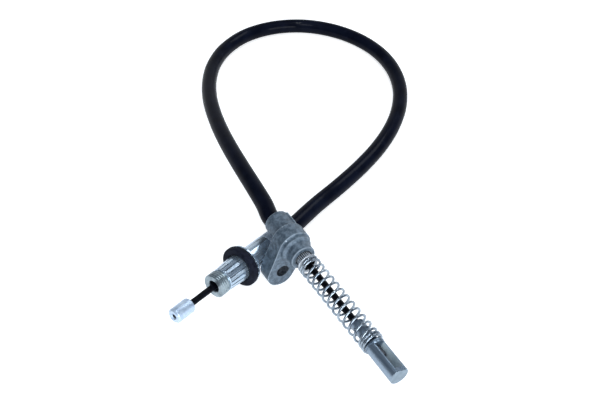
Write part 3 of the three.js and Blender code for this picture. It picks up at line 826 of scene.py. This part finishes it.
def makeFerrule():
    f = ferrule
    mouth = []
    pitch, low = f["mouthLength"] / f["ridges"], f["mouthRadius"] - f["ridgeDepth"]
    for i in range(f["ridges"] - 1, -1, -1):
        front = -i * pitch
        mouth += [(front - pitch * share, low) for share in f["ridgeFoot"]]
        mouth += [(front - pitch * share, f["mouthRadius"]) for share in f["ridgeTop"]]
    barrelAt = -f["mouthLength"] - f["grooveLength"]
    flangeAt, barrelLength = f["flangeFrontAt"], barrelAt - f["flangeFrontAt"]
    flangeBack, rings = flangeAt - f["flangeThickness"], f["barrelRings"]
    edge, rearEdge, flangeEdge = f["edge"], f["rearEdge"], f["flangeEdge"]
    leadLength, leadRise = f["boreLeadIn"]
    profile = [
        (f["endAt"], f["socketRadius"]), (f["endAt"], f["rearRadius"] - rearEdge),
        (f["endAt"] + rearEdge, f["rearRadius"]),
        *[(flangeBack + along, f["rearRadius"] + rise) for along, rise in f["rearFlare"]],
        (flangeBack, f["flangeRadius"] - flangeEdge), (flangeBack + flangeEdge, f["flangeRadius"]),
        (flangeAt - flangeEdge, f["flangeRadius"]), (flangeAt, f["flangeRadius"] - flangeEdge),
        *[(flangeAt + barrelLength * i / rings, barrelRadius(i / rings)) for i in range(rings)],
        (barrelAt - edge, f["barrelRadius"]), (barrelAt, f["barrelRadius"] - edge),
        (barrelAt, f["grooveRadius"]), (-f["mouthLength"], f["grooveRadius"]), *mouth,
        (-edge, f["mouthRadius"] - edge), (0, f["mouthRadius"] - f["mouthLip"]),
        (0, f["boreRadius"] + leadRise), (-leadLength, f["boreRadius"]),
        (f["conduitStopAt"], f["boreRadius"]), (f["conduitStopAt"], f["socketRadius"]),
        (f["endAt"], f["socketRadius"]),
    ]
    shape = spun(profile, f["splines"] * f["splineSteps"])
    step = 2 * math.pi / f["splines"]
    for v in shape.verts:
        r = math.hypot(v.co.y, v.co.z)
        splined = flangeAt - ribTest["along"] <= v.co.x < barrelAt - f["splineEndsBefore"]
        if splined and r > f["grooveRadius"]:
            rise = f["frontRise"] + (1 - f["frontRise"]) * (barrelAt - v.co.x) / barrelLength
            around = math.atan2(v.co.z, v.co.y)
            off = around % step - step / 2
            # a flat on each rib, a narrow groove between two
            grown = r + ribRadius(around, f["splines"], f["ribHeight"] * rise, f["ribShare"], f["ribSoft"])
            grown *= math.cos(step / 2) / math.cos(off)
            v.co.y *= grown / r
            v.co.z *= grown / r

    def onMouth(centre, normal):
        return centre.x > barrelAt

    # painted shade: the floors of the grooves between the ribs
    def inGroove(centre, normal):
        share = (centre.x - flangeAt) / barrelLength
        away = math.hypot(centre.y, centre.z) - barrelRadius(share)
        first, last = f["grooveSpan"]
        return first < share < last and away < f["ribHeight"] * f["grooveFloor"]

    turned = asObject(shape, "turned_ferrule")
    others = ((mouthMaterial, onMouth), (grooveShadeMaterial, inGroove))
    place(
        turned, pullFrame, "outer", "plated_steel", plateMaterial, ["pull_ferrule"],
        sharp=15, others=others,
    )


makeFerrule()

# Rubber washer, its rims rounded
washer = {"front": -16.6, "thick": 3.0, "radius": 9.8, "inner": 6.6, "round": 0.7, "edge": 0.3, "sides": 128}


def makeWasher():
    w = washer
    front, back = w["front"], w["front"] - w["thick"]
    inner, r = w["inner"], w["round"]
    profile = [
        (back, inner), *arc(back + r, w["radius"] - r, r, 180, 90),
        *arc(front - r, w["radius"] - r, r, 90, 0), (front, inner + w["edge"]), (front - w["edge"], inner),
        (back, inner),
    ]
    soft = asObject(spun(profile, w["sides"]), "soft_washer")
    place(soft, pullFrame, "outer", "black_rubber", rubberMaterial, ["rubber_washer"], sharp=40)


makeWasher()


def makeCrimp():
    c = crimp
    back, front, inner = crimpBackAt, c["frontAt"], c["inner"]
    along, drop = c["edge"]
    rings = [(back + c["length"] * i / c["rings"], c["radius"]) for i in range(1, c["rings"])]
    profile = [
        (back, inner), (back, c["radius"] - drop), (back + along, c["radius"]), *rings,
        (front - along, c["radius"]), (front, c["radius"] - drop), (front, inner), (back, inner),
    ]
    shape = spun(profile, c["ribs"] * c["ribSteps"])
    ribbed(shape, back + c["plainEnd"], front - c["plainEnd"], c["radius"], c["ribs"], c["ribHeight"])
    pressed = asObject(shape, "pressed_crimp")
    place(pressed, pullFrame, "outer", "crimp_steel", crimpMaterial, ["crimp_sleeve"], sharp=24)


makeCrimp()


def makeNipple():
    # a barrel with softened corners on its chamfers
    n = nipple
    start, end, c, radius = n["at"], n["at"] + n["length"], n["chamfer"], n["radius"]
    near, side, dip = n["cornerEnd"], n["cornerSide"], n["cornerDip"]
    leadLength, leadRise = n["backLead"]
    profile = [
        (start, n["leadIn"]), (start, radius - c), (start + near, radius - c + side),
        (start + c - side, radius - dip), (start + c + near, radius), (end - c - near, radius),
        (end - c + side, radius - dip), (end - side, radius - c + near), (end, radius - c),
        (end, n["bore"] + leadRise), (end - leadLength, n["bore"]), (start + n["leadInDepth"], n["bore"]),
        (start, n["leadIn"]),
    ]
    barrel = asObject(spun(profile), "barrel_nipple")
    place(barrel, pullFrame, "pull_end", "nipple_steel", nippleMaterial, ["nipple"])


makeNipple()
print("ferrule end made")

# The inner tubes keep their own shape
innerTubes = {"conduit_armour": darkSteelAndShadeMaterial, "conduit_liner": linerMaterial, "inner_wire": wireMaterial}
for node, material in innerTubes.items():
    mesh = frame["nodes"][node].data
    mesh.materials.clear()
    mesh.materials.append(material)

# Floor, world and lamps
white = (1, 1, 1, 1)
studio = {
    "floorSize": 6.0, "floorSink": 0.0003, "floorColour": (0.82, 0.84, 0.86), "paperRoughness": 0.9,
    "paperGlow": 0.7, "room": (0.55, 0.64, 0.78), "roomStrength": 0.28, "sweepStrength": 1.0,
    "sweepFall": 1.1, "sweepEdge": (0.05, 0.4), "horizon": (0.08, 0.02), "lampColour": (0.93, 0.97, 1.0),
}


def combined(nodes, links, operation, *values):
    # a math node fed by sockets and plain numbers
    node = nodes.new("ShaderNodeMath")
    node.operation = operation
    for socket, value in zip(node.inputs, values):
        if isinstance(value, float):
            socket.default_value = value
        else:
            links.new(value, socket)
    return node.outputs["Value"]


def lookedAt(nodes, links):
    # 1 for the rays that show a background, 0 for those that light the object
    path = nodes.new("ShaderNodeLightPath")
    seen = path.outputs["Is Camera Ray"]
    for ray in ("Is Glossy Ray", "Is Transmission Ray"):
        seen = combined(nodes, links, "MAXIMUM", seen, path.outputs[ray])
    return seen


def makeFloor():
    shape = bmesh.new()
    bmesh.ops.create_grid(shape, x_segments=1, y_segments=1, size=studio["floorSize"] / 2)
    bmesh.ops.translate(shape, verts=shape.verts, vec=(0, 0, -studio["floorSink"]))
    item = asObject(shape, "floor")
    material, nodes, links, shader = newMaterial("floor_paper")
    shader.inputs["Base Color"].default_value = (*studio["floorColour"], 1)
    shader.inputs["Roughness"].default_value = studio["paperRoughness"]
    shader.inputs["Specular IOR Level"].default_value = 0.0
    # the paper glows to white where it is looked at, straight on or in a reflection
    glow = combined(nodes, links, "MULTIPLY", lookedAt(nodes, links), studio["paperGlow"])
    shader.inputs["Emission Color"].default_value = white
    links.new(glow, shader.inputs["Emission Strength"])
    item.data.materials.append(material)


makeFloor()


def background(nodes, colour, strength):
    node = nodes.new("ShaderNodeBackground")
    node.inputs["Color"].default_value = colour
    node.inputs["Strength"].default_value = strength
    return node.outputs["Background"]


def makeWorld():
    world = bpy.data.worlds.new("studio")
    world.use_nodes = True
    nodes, links = world.node_tree.nodes, world.node_tree.links
    nodes.clear()
    output = nodes.new("ShaderNodeOutputWorld")
    room = background(nodes, (*studio["room"], 1), studio["roomStrength"])
    sweep = background(nodes, white, studio["sweepStrength"])
    # the paper sweeps up behind the object: white low down at the back, the dim room elsewhere
    direction = nodes.new("ShaderNodeTexCoord")
    parts = nodes.new("ShaderNodeSeparateXYZ")
    links.new(direction.outputs["Generated"], parts.inputs["Vector"])
    depth, height = parts.outputs["Y"], parts.outputs["Z"]
    lower = combined(nodes, links, "MULTIPLY_ADD", height, -studio["sweepFall"], depth)
    atBack = mapped(nodes, links, lower, studio["sweepEdge"])
    # beyond the paper's edge it is white all round, up to just above the horizon
    around = mapped(nodes, links, height, studio["horizon"])
    either = combined(nodes, links, "MAXIMUM", atBack, around)
    shown = combined(nodes, links, "MULTIPLY", either, lookedAt(nodes, links))
    blend = nodes.new("ShaderNodeMixShader")
    links.new(shown, blend.inputs["Fac"])
    links.new(room, blend.inputs[1])
    links.new(sweep, blend.inputs[2])
    links.new(blend.outputs["Shader"], output.inputs["Surface"])
    bpy.context.scene.world = world


makeWorld()

lamps = [
    {"name": "front_box", "place": (0.35, -0.85, 0.34), "target": (0, -0.08, 0),
     "size": (0.7, 0.4), "power": 7.8},
    {"name": "top_box", "place": (-0.18, -0.42, 0.83), "target": (0, -0.08, 0),
     "size": (0.25, 0.25), "power": 1.8},
    {"name": "back_strip", "place": (0.36, 0.42, 0.62), "target": (0, -0.05, 0),
     "size": (0.4, 0.2), "power": 1.5},
    {"name": "loop_spot", "place": (-0.03, 0.06, 0.9), "target": (0, 0.1, 0),
     "size": (0.05, 0.03), "power": 1.4},
]
for lamp in lamps:
    data = bpy.data.lights.new(lamp["name"], "AREA")
    data.shape = "RECTANGLE"
    data.size, data.size_y = lamp["size"]
    data.energy = lamp["power"]
    data.color = studio["lampColour"]
    item = bpy.data.objects.new(lamp["name"], data)
    item.location = lamp["place"]
    toward = Vector(lamp["target"]) - Vector(lamp["place"])
    item.rotation_euler = toward.to_track_quat("-Z", "Y").to_euler()
    bpy.context.scene.collection.objects.link(item)

bpy.context.scene.view_settings.view_transform = "Standard"
print("studio lit")
